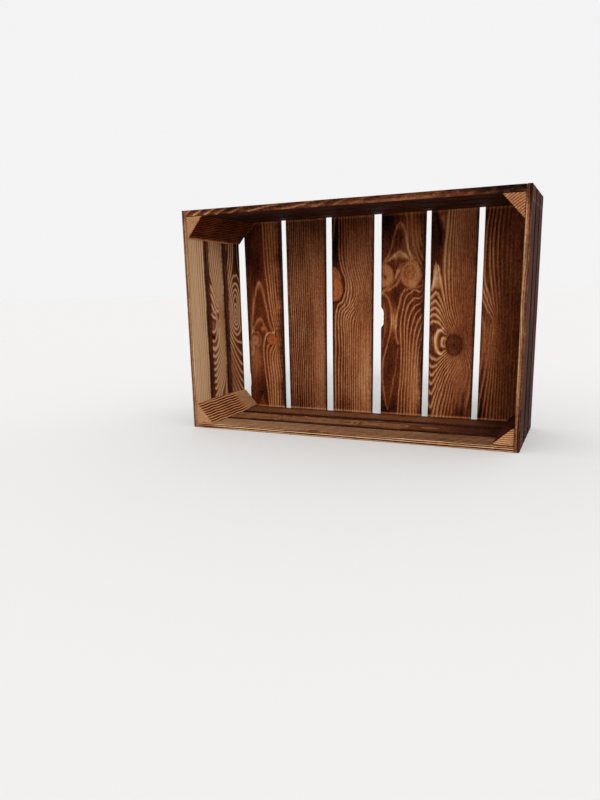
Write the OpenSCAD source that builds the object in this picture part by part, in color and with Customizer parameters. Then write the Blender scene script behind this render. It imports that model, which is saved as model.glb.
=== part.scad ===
// Slatted wooden fruit crate, standing on one long side as a shelf box.
// X runs along the crate's length, Z along its width and Y along its height,
// so the open face looks towards -Y and the crate's floor stands at the back.
// The origin is the middle of the face that the crate stands on.

/* [Crate] */
// Outside length of the crate, along X
crate_length = 600; // [400:10:800]
// Outside width of the crate, upright here, along Z
crate_width = 400; // [250:10:600]
// Outside height of the crate, from the open rim to the floor, along Y
crate_height = 200; // [150:5:320]
// Thickness of every board but the top side's
board_thickness = 9; // [7:0.5:14]
// Thickness of the boards of the long side at the top
top_board_thickness = 11; // [7:0.5:14]

/* [Walls] */
// Clear gap between two neighbouring slats of a wall
wall_gap = 10; // [4:1:20]

/* [Floor] */
// Left edge of each floor slat at its foot, from the crate's left end
floor_slat_foot_left = [24, 118, 214.5, 315.5, 410, 503.5]; // [9:0.5:591]
// Width of each floor slat at its foot
floor_slat_foot_width = [81, 81, 82.5, 81.5, 82, 82.5]; // [60:0.5:90]
// Left edge of each floor slat at its head, from the crate's left end
floor_slat_head_left = [21.5, 117, 215.5, 316, 410, 505]; // [9:0.5:591]
// Width of each floor slat at its head
floor_slat_head_width = [83.5, 85, 85, 84.5, 84.5, 81]; // [60:0.5:90]

/* [Corner posts] */
// Sides of the top left post at the floor, along the long side and up the end wall
top_left_post_legs = [36, 44]; // [24:1:45]
// The same for the post at the top right
top_right_post_legs = [34, 38]; // [24:1:45]
// The same for the post at the bottom left
bottom_left_post_legs = [33, 38]; // [24:1:45]
// The same for the post at the bottom right
bottom_right_post_legs = [35, 32]; // [24:1:45]
// The top left post tapers: how much of its size at the floor it still has at its rim end
top_left_post_rim_share = 0.89; // [0.8:0.01:1]
// How far the end of each post stands back from the rim
top_left_post_setback = 1; // [0:0.5:10]
// The same for the post at the top right
top_right_post_setback = 1; // [0:0.5:10]
// The same for the post at the bottom left
bottom_left_post_setback = 1; // [0:0.5:10]
// The same for the post at the bottom right
bottom_right_post_setback = 5.5; // [0:0.5:10]

/* [Nails] */
// Diameter of a nail's shank
nail_diameter = 2; // [1.6:0.1:2.6]
// Diameter of a nail's flat head
nail_head_diameter = 4.6; // [3.5:0.1:6]
// Length of a nail under its head
nail_length = 29; // [22:1:30]
// Thickness of a nail's flat head
nail_head_thickness = 0.9; // [0.6:0.1:1.4]

/* [Hidden] */
$fn = 32;

LEFT = -1;
RIGHT = 1;
BOTTOM = -1;
TOP = 1;
FRONT_ROW = 0;
MIDDLE_ROW = 1;
BACK_ROW = 2;
ROWS = [FRONT_ROW, MIDDLE_ROW, BACK_ROW];
SLATS = [0 : len(floor_slat_foot_left) - 1];

// Planes that the boards meet at
rim_y = -crate_height / 2;
floor_outside_y = crate_height / 2;
floor_inside_y = floor_outside_y - board_thickness;
inside_half_length = crate_length / 2 - board_thickness;
function side_thickness(level) = level == TOP ? top_board_thickness : board_thickness;
function side_outside_z(level) = level == TOP ? crate_width : 0;
function side_inside_z(level) = side_outside_z(level) - level * side_thickness(level);

// A wall is three slats with two gaps between the rim and the floor
wall_depth = floor_inside_y - rim_y;
wall_slat_width = (wall_depth - 2 * wall_gap) / 3;
function wall_slat_y(row) = rim_y + row * (wall_slat_width + wall_gap);

// A floor slat may widen or lean from its foot to its head
function floor_slat_left(slat, level) =
    (level == TOP ? floor_slat_head_left[slat] : floor_slat_foot_left[slat]) - crate_length / 2;
function floor_slat_width(slat, level) =
    level == TOP ? floor_slat_head_width[slat] : floor_slat_foot_width[slat];
function floor_slat_x(slat, level, share) =
    floor_slat_left(slat, level) + share * floor_slat_width(slat, level);

// Nails stand in pairs, clear of the ones that cross them in the same post
end_nail_spots = [0.25, 0.75];
side_nail_spots = [0.4, 0.6];
floor_nail_spots = [0.25, 0.75];
post_legs = concat(
    top_left_post_legs, top_right_post_legs, bottom_left_post_legs, bottom_right_post_legs
);
nail_from_corner = min(post_legs) / 3;

honey = [0.66, 0.45, 0.27];
tan_brown = [0.56, 0.36, 0.22];
red_brown = [0.42, 0.22, 0.13];
dark_brown = [0.26, 0.14, 0.09];
steel_grey = [0.35, 0.34, 0.33];

// One board that fills the box from its low corner
module board(corner, size, shade) {
    color(shade)
        translate(corner)
            cube(size);
}

// Upright slat of an end wall, over the ends of the long sides
module end_slat(side, row, shade) {
    left_x = side == LEFT ? -crate_length / 2 : inside_half_length;
    board(
        [left_x, wall_slat_y(row), 0],
        [board_thickness, wall_slat_width, crate_width],
        shade
    );
}

// Lengthwise slat of a long side, between the end walls
module side_slat(level, row, shade) {
    low_z = min(side_outside_z(level), side_inside_z(level));
    board(
        [-inside_half_length, wall_slat_y(row), low_z],
        [2 * inside_half_length, wall_slat_width, side_thickness(level)],
        shade
    );
}

// Upright slat of the crate's floor, over the back edges of both long sides
module floor_slat(slat, shade) {
    color(shade)
        translate([0, floor_outside_y, 0])
            rotate([90, 0, 0])
                linear_extrude(height = board_thickness)
                    polygon([
                        [floor_slat_x(slat, BOTTOM, 0), 0],
                        [floor_slat_x(slat, BOTTOM, 1), 0],
                        [floor_slat_x(slat, TOP, 1), crate_width],
                        [floor_slat_x(slat, TOP, 0), crate_width]
                    ]);
}

// Three-cornered post, with its right angle in the corner of two walls
module corner_post(side, level, legs, setback, shade, rim_share = 1) {
    length = wall_depth - setback;
    color(shade)
        translate([side * inside_half_length, floor_inside_y, side_inside_z(level)])
            rotate([90, 0, 0])
                linear_extrude(height = length, scale = rim_share)
                    polygon([[0, 0], [-side * legs.x, 0], [0, -level * legs.y]]);
}

// Round wire nail, its head's top at the origin and its shank along -Z
module nail() {
    translate([0, 0, -nail_length])
        cylinder(d = nail_diameter, h = nail_length);
    translate([0, 0, -nail_head_thickness])
        cylinder(d = nail_head_diameter, h = nail_head_thickness);
}

// Nails through an end wall into its two posts
module end_nails(side) {
    color(steel_grey)
        for (row = ROWS, spot = end_nail_spots, level = [BOTTOM, TOP])
            translate([
                side * crate_length / 2,
                wall_slat_y(row) + spot * wall_slat_width,
                side_inside_z(level) - level * nail_from_corner
            ])
                rotate([0, side * 90, 0])
                    nail();
}

// Nails through a long side into its two posts
module side_nails(level) {
    color(steel_grey)
        for (row = ROWS, spot = side_nail_spots, side = [LEFT, RIGHT])
            translate([
                side * (inside_half_length - nail_from_corner),
                wall_slat_y(row) + spot * wall_slat_width,
                side_outside_z(level)
            ])
                rotate([level == BOTTOM ? 180 : 0, 0, 0])
                    nail();
}

module post_top_left() {
    corner_post(
        LEFT, TOP, top_left_post_legs, top_left_post_setback, honey, top_left_post_rim_share
    );
}
module post_top_right() {
    corner_post(RIGHT, TOP, top_right_post_legs, top_right_post_setback, honey);
}
module post_bottom_left() {
    corner_post(LEFT, BOTTOM, bottom_left_post_legs, bottom_left_post_setback, honey);
}
module post_bottom_right() {
    corner_post(RIGHT, BOTTOM, bottom_right_post_legs, bottom_right_post_setback, honey);
}

module left_end_front() { end_slat(LEFT, FRONT_ROW, honey); }
module left_end_middle() { end_slat(LEFT, MIDDLE_ROW, tan_brown); }
module left_end_back() { end_slat(LEFT, BACK_ROW, tan_brown); }
module right_end_front() { end_slat(RIGHT, FRONT_ROW, red_brown); }
module right_end_middle() { end_slat(RIGHT, MIDDLE_ROW, dark_brown); }
module right_end_back() { end_slat(RIGHT, BACK_ROW, dark_brown); }

module top_side_front() { side_slat(TOP, FRONT_ROW, red_brown); }
module top_side_middle() { side_slat(TOP, MIDDLE_ROW, dark_brown); }
module top_side_back() { side_slat(TOP, BACK_ROW, dark_brown); }
module bottom_side_front() { side_slat(BOTTOM, FRONT_ROW, tan_brown); }
module bottom_side_middle() { side_slat(BOTTOM, MIDDLE_ROW, red_brown); }
module bottom_side_back() { side_slat(BOTTOM, BACK_ROW, red_brown); }

module floor_slat_1() { floor_slat(0, red_brown); }
module floor_slat_2() { floor_slat(1, tan_brown); }
module floor_slat_3() { floor_slat(2, tan_brown); }
module floor_slat_4() { floor_slat(3, tan_brown); }
module floor_slat_5() { floor_slat(4, tan_brown); }
module floor_slat_6() { floor_slat(5, red_brown); }

module left_end_nails() { end_nails(LEFT); }
module right_end_nails() { end_nails(RIGHT); }
module top_side_nails() { side_nails(TOP); }
module bottom_side_nails() { side_nails(BOTTOM); }

// Nails through the floor slats into the back edges of both long sides
module floor_nails() {
    color(steel_grey)
        for (slat = SLATS, spot = floor_nail_spots, level = [BOTTOM, TOP])
            translate([
                floor_slat_x(slat, level, spot),
                floor_outside_y,
                (side_outside_z(level) + side_inside_z(level)) / 2
            ])
                rotate([-90, 0, 0])
                    nail();
}

post_top_left();
post_top_right();
post_bottom_left();
post_bottom_right();
left_end_front();
left_end_middle();
left_end_back();
right_end_front();
right_end_middle();
right_end_back();
top_side_front();
top_side_middle();
top_side_back();
bottom_side_front();
bottom_side_middle();
bottom_side_back();
floor_slat_1();
floor_slat_2();
floor_slat_3();
floor_slat_4();
floor_slat_5();
floor_slat_6();
left_end_nails();
right_end_nails();
top_side_nails();
bottom_side_nails();
floor_nails();
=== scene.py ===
"""Looks of a slatted fruit crate of scorched and brushed softwood, standing on its long side.

Each board is a closed, worn mesh. Its grain comes from growth rings that are drawn as a few
lines on the board's inside face, in millimetres: across the board, and along it.
through those lines numbers the rings everywhere, and the material turns the numbers into wood.
"""

import math

import bpy
import numpy as np
from mathutils import Matrix, Vector


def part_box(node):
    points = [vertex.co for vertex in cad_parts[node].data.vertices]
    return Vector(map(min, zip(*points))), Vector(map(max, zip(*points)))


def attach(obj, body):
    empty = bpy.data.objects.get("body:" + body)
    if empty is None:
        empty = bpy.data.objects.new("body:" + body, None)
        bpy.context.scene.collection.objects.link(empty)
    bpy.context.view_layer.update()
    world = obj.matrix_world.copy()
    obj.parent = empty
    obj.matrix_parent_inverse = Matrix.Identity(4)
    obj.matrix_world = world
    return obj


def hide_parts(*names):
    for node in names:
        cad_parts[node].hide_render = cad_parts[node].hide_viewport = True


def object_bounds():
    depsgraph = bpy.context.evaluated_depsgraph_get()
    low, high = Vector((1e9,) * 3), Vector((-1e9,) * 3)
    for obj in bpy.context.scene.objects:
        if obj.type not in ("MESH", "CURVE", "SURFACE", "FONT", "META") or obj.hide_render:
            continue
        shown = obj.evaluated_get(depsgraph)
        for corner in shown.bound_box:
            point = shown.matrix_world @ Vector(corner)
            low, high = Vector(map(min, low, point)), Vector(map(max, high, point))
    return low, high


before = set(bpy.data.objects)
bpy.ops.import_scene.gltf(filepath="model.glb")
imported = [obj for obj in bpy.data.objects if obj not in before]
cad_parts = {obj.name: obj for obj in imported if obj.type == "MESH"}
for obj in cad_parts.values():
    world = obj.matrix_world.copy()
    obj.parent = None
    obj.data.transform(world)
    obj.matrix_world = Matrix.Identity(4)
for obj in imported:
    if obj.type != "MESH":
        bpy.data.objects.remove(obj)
cad_box = [list(corner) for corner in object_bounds()]

MM = 0.001
BODY = "root"
TINY = 1e-9


# ---------------------------------------------------------------------------------------------
# Small helpers
# ---------------------------------------------------------------------------------------------

# How uneven each thing is: what is added to its seed, its size, and its wave lengths in millimetres
UNEVEN = {
    "low edge": (0, 0.15, (170, 61, 23)),
    "high edge": (1, 0.15, (150, 53, 19)),
    "chip": (2, 0.15, (9, 5)),
    "inside face": (3, 0.12, (310, 120)),
    "outside face": (4, 0.12, (270, 90)),
    "low end": (5, 0.12, (31, 13, 7)),
    "high end": (6, 0.12, (29, 11, 6)),
    "low char": (7, 0.8, (140, 60, 31, 13)),
    "high char": (8, 0.8, (120, 70, 37, 11)),
    "outside tone": (9, 0.04, (230, 97)),
    "rim tone": (10, 0.03, (90, 41, 17)),
    "joint": (11, 0.3, (37, 17, 7)),
    "drawn across": (12, 0.7, (43, 19)),
    "drawn along": (13, 1.2, (23, 11)),
    "post face": (0, 0.0875, (130, 47)),
    "post pith": (1, 1.6, (260, 140)),
    "post rings": (2, 0.15, (60, 33)),
    "post tone": (3, 0.05, (120, 50)),
    "post tips": (4, 1, (47, 19)),
}
PLATE_STIFFNESS = 0.5


def linear(red, green, blue):
    """A screen colour from 0 to 255, as the linear colour that nodes take."""
    shares = [c / 255 for c in (red, green, blue)]
    return tuple(c / 12.92 if c <= 0.04045 else ((c + 0.055) / 1.055) ** 2.4 for c in shares)


def waves(x, seed, lengths):
    """A smooth irregular curve from -1 to 1 along x, made of sines of these wave lengths."""
    draw = np.random.default_rng(seed)
    total = np.zeros_like(x, dtype=float)
    for length in lengths:
        total += np.sin(2 * np.pi * (x / length + draw.random())) * draw.uniform(0.6, 1.0)
    return total / len(lengths)


def uneven(thing, x, seed):
    """How far this thing sways to either side, along x."""
    step, size, lengths = UNEVEN[thing]
    return size * waves(x, seed + step, lengths)


def bell(x):
    """1 at 0, and falling smoothly to 0 on both sides."""
    return np.exp(-x ** 2)


def smooth_step(x, low, high):
    """0 below low, 1 above high, and smooth in between."""
    share = np.clip((x - low) / (high - low), 0, 1)
    return share * share * (3 - 2 * share)


def mix(first, second, share):
    """The first where the share is 0, the second where it is 1."""
    return first + (second - first) * share


def oval_reach(oval, across, along):
    """How far points are from an oval's middle: 1 at its edge."""
    return np.hypot((across - oval[0]) / oval[2], (along - oval[1]) / oval[3])


def path_distance(path, across, along):
    """How far points are from a path of straight pieces."""
    places = np.column_stack([across, along])
    nearest = np.full(len(across), np.inf)
    corners = np.array(path, float)
    for start, end in zip(corners[:-1], corners[1:]):
        step = end - start
        share = np.clip((places - start) @ step / (step @ step), 0, 1)
        nearest = np.minimum(nearest, np.linalg.norm(places - start - share[:, None] * step, axis=1))
    return nearest


def smooth_surface(points, heights, at):
    """The thin plate through the heights at the points: its height and slope at other points."""
    count = len(points)
    squares = ((points[:, None] - points[None]) ** 2).sum(-1)
    flat = np.column_stack([np.ones(count), points])
    system = np.zeros((count + 3, count + 3))
    system[:count, :count] = squares * np.log(squares + TINY) + PLATE_STIFFNESS * np.eye(count)
    system[:count, count:] = flat
    system[count:, :count] = flat.T
    weights = np.linalg.solve(system, np.append(heights, np.zeros(3)))
    height = weights[count] + at @ weights[count + 1:]
    slope = np.tile(weights[count + 1:], (len(at), 1))
    for point, weight in zip(points, weights[:count]):
        gap = at - point
        square = (gap ** 2).sum(1) + TINY
        log = np.log(square)
        height += weight * square * log
        slope += 2 * weight * gap * (log + 1)[:, None]
    return height, slope


# ---------------------------------------------------------------------------------------------
# Growth rings, tone and wear of each board
# ---------------------------------------------------------------------------------------------

WALL_WIDTH = 57
SIDE_LENGTH = 582
END_LENGTH = 400
LINES_ACROSS = 4
PLACES_ALONG = 6
# How the lines sway together and apart: wave lengths as shares of the board's length
SWAY_LENGTHS = (0.7, 0.45)
SPREAD_LENGTH = 0.5
SPREAD = 0.4
ARCH_GAP = 5
ARCH_START = 1.2
ARCH_WIDTH = 1.5
ARCH_LEG = (0.0, 0.06, 0.2, 0.5)
ARCH_MARGIN = (3, 5)


def straight_lines(length, ring_gap, sway, seed, drift=0):
    """Lines of a quiet wall board: nearly straight rings that sway a little along it.
    Drift is how many rings run out over an edge in each millimetre along the board."""
    places = np.linspace(0, length, PLACES_ALONG)
    lines = []
    for across in np.linspace(0, WALL_WIDTH, LINES_ACROSS):
        shift = sway * waves(places, seed, [length * share for share in SWAY_LENGTHS])
        spread = sway * SPREAD * waves(places, seed + 1 + int(across), (length * SPREAD_LENGTH,))
        for a, b, place in zip(shift, spread, places):
            lines.append((across / ring_gap - drift * place, [(across + a + b, place)]))
    return lines


def arched_lines(length, middle, peaks, lean):
    """Lines of a flat-sawn wall board: arches round its middle, one inside the other, up to the
    peaks. They open towards the board's low end where lean is -1, and its high end where it is 1."""
    lines = []
    for number, peak in enumerate(peaks):
        reach = ARCH_GAP * (number + 1)
        for side in (-1, 1):
            points = []
            for share in ARCH_LEG:
                place = peak + lean * share * length
                across = middle + side * (ARCH_START + reach * math.sqrt(share) * ARCH_WIDTH)
                margin_across, margin_along = ARCH_MARGIN
                fits_across = -margin_across < across < WALL_WIDTH + margin_across
                if fits_across and -margin_along < place < length + margin_along:
                    points.append((across, place))
            lines.append((-number, points))
    return lines


# origin  where a floor slat's own measure across starts, from the crate's left end
# line    width of a light line
# lines   (ring number, points of that ring's light line)
# through_gap  thickness of a ring, from the inside face to the outside
# loops   (ring number, middle across, middle along, half width, half length)
# knots   (middle across, middle along, half width, half length, tone, redness)
# tone, contrast, redness  of the whole inside face
# tones   (middle across, middle along, half width, half length, change of tone): patches of the wood's own tone, and some patches of painted shade
# plain   (middle across, middle along, half width, half length, loss of contrast)
# strokes (half width, change of tone, points of a band)
# halos   (middle across, middle along, half width, half length, half width of the band, change of tone)
# char    how far the two long edges are charred: the low edge, the high edge
# outside tone of the outside face
# rim     (tone at the inside, tone at the outside, contrast, redness) of the edge facing the opening
# rim_marks (middle along, half length, change of tone, change of contrast as a share)
# chips   (place along, half length, depth) of a bite out of the low edge
# Tone is lightness from 0, charred, to 1, pale. Redness is 0 for the colours of WOOD_COLOURS. Their
# reddish part is stronger above 0 and weaker below it. All lengths are in millimetres.
# The order of the boards matters: each one's place in it is the seed of its unevenness.

BOARDS = {}

BOARDS["floor_slat_1"] = dict(
    origin=23,
    lines=[
        (2, [(42, 390), (43, 340), (45, 300), (49, 260), (53, 225), (57, 200), (63, 172)]),
        (1, [(49, 390), (50, 340), (52, 300), (56, 255), (60, 220), (64, 190), (69, 165)]),
        (0, [(55, 390), (57, 330), (60, 280), (63, 230), (67, 190), (72, 160)]),
        (-1, [(61, 390), (63, 330), (66, 280), (70, 220), (74, 170)]),
        (-2, [(67, 390), (69, 330), (73, 250), (78, 170)]),
        (-3, [(74, 390), (76, 300), (80, 200)]),
        (2.5, [(20, 390), (28, 330), (36, 350), (30, 290), (28, 240), (20, 200), (8, 200), (10, 260),
               (5, 340), (25, 110), (22, 70), (12, 110), (6, 60), (24, 30), (10, 20), (30, 150)]),
        (2, [(37, 140), (37, 100), (41, 65), (44, 40), (46, 5)]),
        (1, [(45, 132), (47, 80), (49, 40), (51, 5)]),
        (0, [(52, 128), (53, 80), (54, 5)]),
        (-1, [(58, 125), (59, 80), (60, 5)]),
        (-2, [(65, 128), (65, 80), (65, 5)]),
        (-3, [(72, 138), (71, 80), (71, 5)]),
        (-4, [(77, 140), (77, 80), (77, 5)]),
    ],
    strokes=[
        (1.6, 0.16, [(-2, 361), (10, 372), (23, 385)]),
        (2.7, 0.23, [(9, 168), (10, 185), (13, 210), (17, 233), (22, 254), (26, 266), (30, 272),
                     (34, 265), (38, 252), (42, 233), (46, 213), (50, 193), (55, 177), (60, 166)]),
        (4.0, 0.12, [(28, 258), (30, 268)]),
        (2.3, 0.20, [(8, 163), (14, 176), (21, 187), (26, 194), (30, 197), (34, 192), (38, 184),
                     (42, 172), (46, 163)]),
        (3.6, 0.08, [(28, 188), (31, 194)]),
        (1.8, 0.20, [(14, 168), (22, 166), (28, 160), (30, 151), (28, 143), (23, 138)]),
        (2.6, 0.14, [(25, 8), (27, 20), (30, 32), (32, 22), (34, 8)]),
        (1.5, 0.06, [(17, 352), (13, 300), (9, 250)]),
        (1.2, 0.10, [(43, 166), (40, 150), (38, 138)]),
    ],
    halos=[(36, 175, 5, 5, 1.4, 0.16)],
    knots=[(57, 152, 13, 11, 0.45, 1.0), (16, 151, 11, 12, 0.47, 0.1), (36, 175, 4, 4, 0.50, 0.5),
           (6, 132, 9, 18, 0.48, 0.2)],
    tone=0.32,
    tones=[(14, 106, 16, 40, 0.13), (28, 36, 16, 30, -0.08), (10, 340, 22, 60, -0.13),
           # (40, 392, 60, 24, -0.06) darkens the whole top end: partly painted shade under the top side,
           # partly char.
           (30, 310, 10, 30, -0.06), (60, 70, 20, 70, 0.03), (40, 392, 60, 24, -0.06)],
    plain=[(14, 120, 16, 30, 0.8), (20, 340, 14, 50, 0.7), (64, 340, 26, 90, 0.4)],
    contrast=0.29,
    redness=0.35,
    line=2.4,
    char=(4, 9),
    chips=[(66, 14, 1.6)],
)

BOARDS["floor_slat_2"] = dict(
    origin=118,
    lines=[
        (1, [(6, 390), (7, 230), (8, 160), (5, 110), (2, 40)]),
        (2, [(10, 390), (11, 250), (13, 155), (9, 110), (6, 60), (6, 5)]),
        (4, [(18, 390), (19, 250), (22, 155), (18, 110), (15, 60), (15, 5)]),
        (6, [(27, 390), (28, 250), (31, 155), (28, 110), (25, 60), (25, 5)]),
        (8, [(36, 390), (38, 200), (39, 150), (37, 105), (35, 60), (35, 5)]),
        (12, [(57, 390), (58, 200), (57, 100), (57, 5)]),
        (17, [(80, 390), (80, 200), (80, 5)]),
    ],
    tone=0.24,
    # (40, 392, 60, 40, -0.12) darkens the whole top end: partly painted shade under the top side, partly
    # char.
    tones=[(70, 120, 16, 150, 0.15), (16, 10, 30, 34, -0.12), (40, 392, 60, 40, -0.12),
           (4, 320, 16, 60, -0.04), (46, 150, 8, 60, -0.02), (56, 310, 16, 60, 0.08),
           (16, 100, 20, 90, -0.05)],
    plain=[(70, 150, 26, 300, 0.9), (50, 330, 30, 80, 0.6)],
    contrast=0.33,
    redness=-0.15,
    line=2.0,
    char=(4, 1.5),
)

BOARDS["floor_slat_3"] = dict(
    origin=216,
    lines=[
        (1, [(5, 5), (5, 100), (6, 150), (6, 195), (9, 215), (18, 226), (25, 238), (29, 258),
             (26, 278), (20, 292), (16, 312), (15, 345), (15, 390)]),
        (2, [(11, 5), (12, 100), (13, 150), (12, 197), (15, 212), (24, 221), (31, 236), (34, 256),
             (31, 276), (25, 293), (21, 318), (20, 390)]),
        (3, [(17, 5), (18, 100), (19, 150), (18, 198), (21, 210), (30, 218), (37, 234), (40, 254),
             (37, 273), (31, 291), (27, 320), (26, 390)]),
        (4, [(23, 5), (24, 100), (25, 160), (24, 198), (28, 210), (36, 218), (43, 233), (46, 252),
             (43, 269), (37, 288), (33, 318), (32, 390)]),
        (5.5, [(30, 5), (31, 100), (31, 160), (32, 200), (37, 212), (45, 222), (51, 237), (53, 251),
               (50, 267), (44, 286), (40, 320), (40, 390)]),
        (8, [(41, 5), (41, 100), (42, 160), (46, 200), (54, 222), (61, 238), (64, 252), (62, 268),
             (56, 290), (52, 330), (52, 390)]),
        (11, [(55, 5), (55, 150), (61, 205), (72, 235), (75, 252), (72, 275), (66, 300), (64, 390)]),
        (15, [(80, 5), (80, 150), (81, 200)]),
        (0, [(0, 236), (9, 242), (16, 250), (19, 262), (16, 276), (8, 290), (0, 296)]),
        (-1, [(0, 250), (6, 255), (8, 263), (5, 272), (0, 276)]),
    ],
    strokes=[(2.2, 0.12, [(1, 293), (8, 287), (15, 275)]), (1.2, 0.16, [(3, 230), (14, 234), (22, 248)]),
             (1.6, 0.10, [(4, 290), (12, 276), (17, 258), (14, 242), (6, 236)])],
    knots=[(-6, 266, 22, 30, 0.48, 0.85), (3, 254, 20, 25, 0.46, 0.9)],
    tone=0.29,
    tones=[(68, 80, 18, 90, 0.18), (22, 20, 24, 24, -0.14), (6, 350, 20, 50, -0.18),
           # (40, 392, 60, 40, -0.14) darkens the whole top end: partly painted shade under the top side,
           # partly char.
           (40, 392, 60, 40, -0.14), (40, 200, 24, 40, 0.02), (14, 100, 18, 90, -0.06),
           (60, 310, 18, 50, 0.06)],
    plain=[(70, 100, 22, 240, 0.85), (50, 345, 36, 50, 0.7), (62, 215, 12, 30, 0.7)],
    contrast=0.33,
    redness=0.15,
    line=2.5,
    char=(2, 1.5),
)

BOARDS["floor_slat_4"] = dict(
    origin=316,
    lines=[
        (4, [(78, 247), (58, 244), (48, 234), (43, 215), (39, 190), (39, 160), (41, 130), (40, 100),
             (38, 70), (36, 40), (34, 8)]),
        (3, [(80, 239), (64, 234), (54, 222), (48, 203), (46, 180), (47, 150), (46, 100), (43, 60),
             (41, 8)]),
        (2, [(80, 230), (68, 221), (58, 205), (53, 183), (52, 160), (52, 120), (50, 70), (48, 8)]),
        (1, [(80, 217), (70, 207), (63, 190), (59, 170), (57, 140), (56, 90), (54, 8)]),
        (0, [(80, 203), (73, 192), (67, 174), (64, 150), (62, 120), (61, 70), (60, 8)]),
        (-1, [(81, 190), (76, 175), (71, 155), (69, 130), (67, 90), (66, 8)]),
        (-2, [(81, 165), (77, 150), (74, 130), (72, 90), (72, 8)]),
        (-3, [(81, 140), (78, 110), (78, 8)]),
        (4.5, [(6, 240), (8, 190), (6, 150), (10, 100), (14, 50), (24, 130), (24, 60), (26, 200),
               (28, 240), (40, 260), (56, 258), (74, 260), (20, 270), (4, 290), (30, 290), (50, 285),
               (66, 284), (40, 305), (20, 300), (36, 340), (20, 370), (46, 380), (8, 350), (20, 10)]),
        (3.5, [(54, 350), (50, 388), (62, 314)]),
        (3, [(57, 390), (59, 350), (66, 320)]),
        (2, [(64, 390), (66, 350), (74, 318)]),
        (1, [(71, 390), (74, 345)]),
        (0, [(78, 390), (81, 350)]),
    ],
    strokes=[
        (1.8, 0.20, [(0, 297), (6, 302), (14, 313), (20, 328), (24, 345), (28, 360), (32, 369),
                     (36, 372), (41, 369), (44, 361), (47, 348), (50, 330), (56, 314), (66, 306)]),
        (4.5, 0.10, [(33, 364), (39, 364)]),
        (2.4, 0.22, [(6, 297), (13, 303), (24, 312), (30, 318), (36, 321), (42, 317), (50, 310),
                     (56, 305)]),
        (5.0, 0.22, [(26, 310), (36, 315), (46, 310)]),
        (2.2, 0.24, [(14, 249), (21, 253), (28, 259), (34, 266), (38, 274)]),
        (3.4, 0.24, [(-1, 242), (6, 249), (14, 256), (21, 264), (28, 275), (33, 286)]),
        (1.8, 0.28, [(80, 258), (70, 254), (58, 252), (46, 249), (40, 240), (35, 220), (31, 200),
                     (29, 180), (30, 163), (34, 149)]),
        (1.5, 0.24, [(3, 243), (9, 241), (15, 233), (20, 215), (21, 190), (18, 165), (12, 143),
                     (6, 122), (3, 100), (3, 80), (6, 55), (10, 35), (14, 18)]),
        (1.4, 0.17, [(34, 138), (32, 118), (30, 98), (26, 78), (22, 58), (19, 40), (15, 18)]),
        (1.2, -0.16, [(12, 257), (22, 268), (28, 282), (31, 296)]),
        (1.2, -0.08, [(8, 300), (22, 304), (36, 303), (50, 300)]),
        (2.4, 0.12, [(5, 224), (9, 200), (8, 175), (3, 145)]),
        (3.0, 0.16, [(36, 284), (42, 297), (56, 302), (70, 298)]),
    ],
    halos=[(57, 279, 14, 17, 1.4, -0.12), (2, 279, 14, 11, 1.2, -0.10)],
    knots=[(58, 277, 21, 25, 0.52, 0.45), (55, 282, 10, 13, 0.41, 0.5), (3, 277, 22, 23, 0.53, 0.4),
           (8, 274, 3, 4, 0.30, 0.4)],
    tone=0.31,
    # (6, 390, ...) and (76, 390, ...) darken the top end at both edges: partly painted shade under the
    # top side, partly char.
    tones=[(6, 390, 24, 40, -0.22), (76, 390, 20, 26, -0.14), (30, 238, 10, 14, -0.07),
           (16, 100, 8, 32, -0.03), (25, 192, 5, 22, 0.26), (68, 66, 16, 60, 0.14),
           (10, 16, 30, 22, -0.14), (36, 345, 8, 14, -0.04), (12, 315, 14, 16, 0.03),
           (58, 335, 18, 40, 0.06), (34, 284, 8, 18, 0.06), (14, 306, 14, 6, 0.08)],
    plain=[(68, 66, 16, 50, 0.75), (66, 350, 22, 55, 0.8)],
    contrast=0.29,
    redness=0.35,
    line=2.0,
    char=(2, 6),
    chips=[(198, 17, 5.2)],
)

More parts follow.
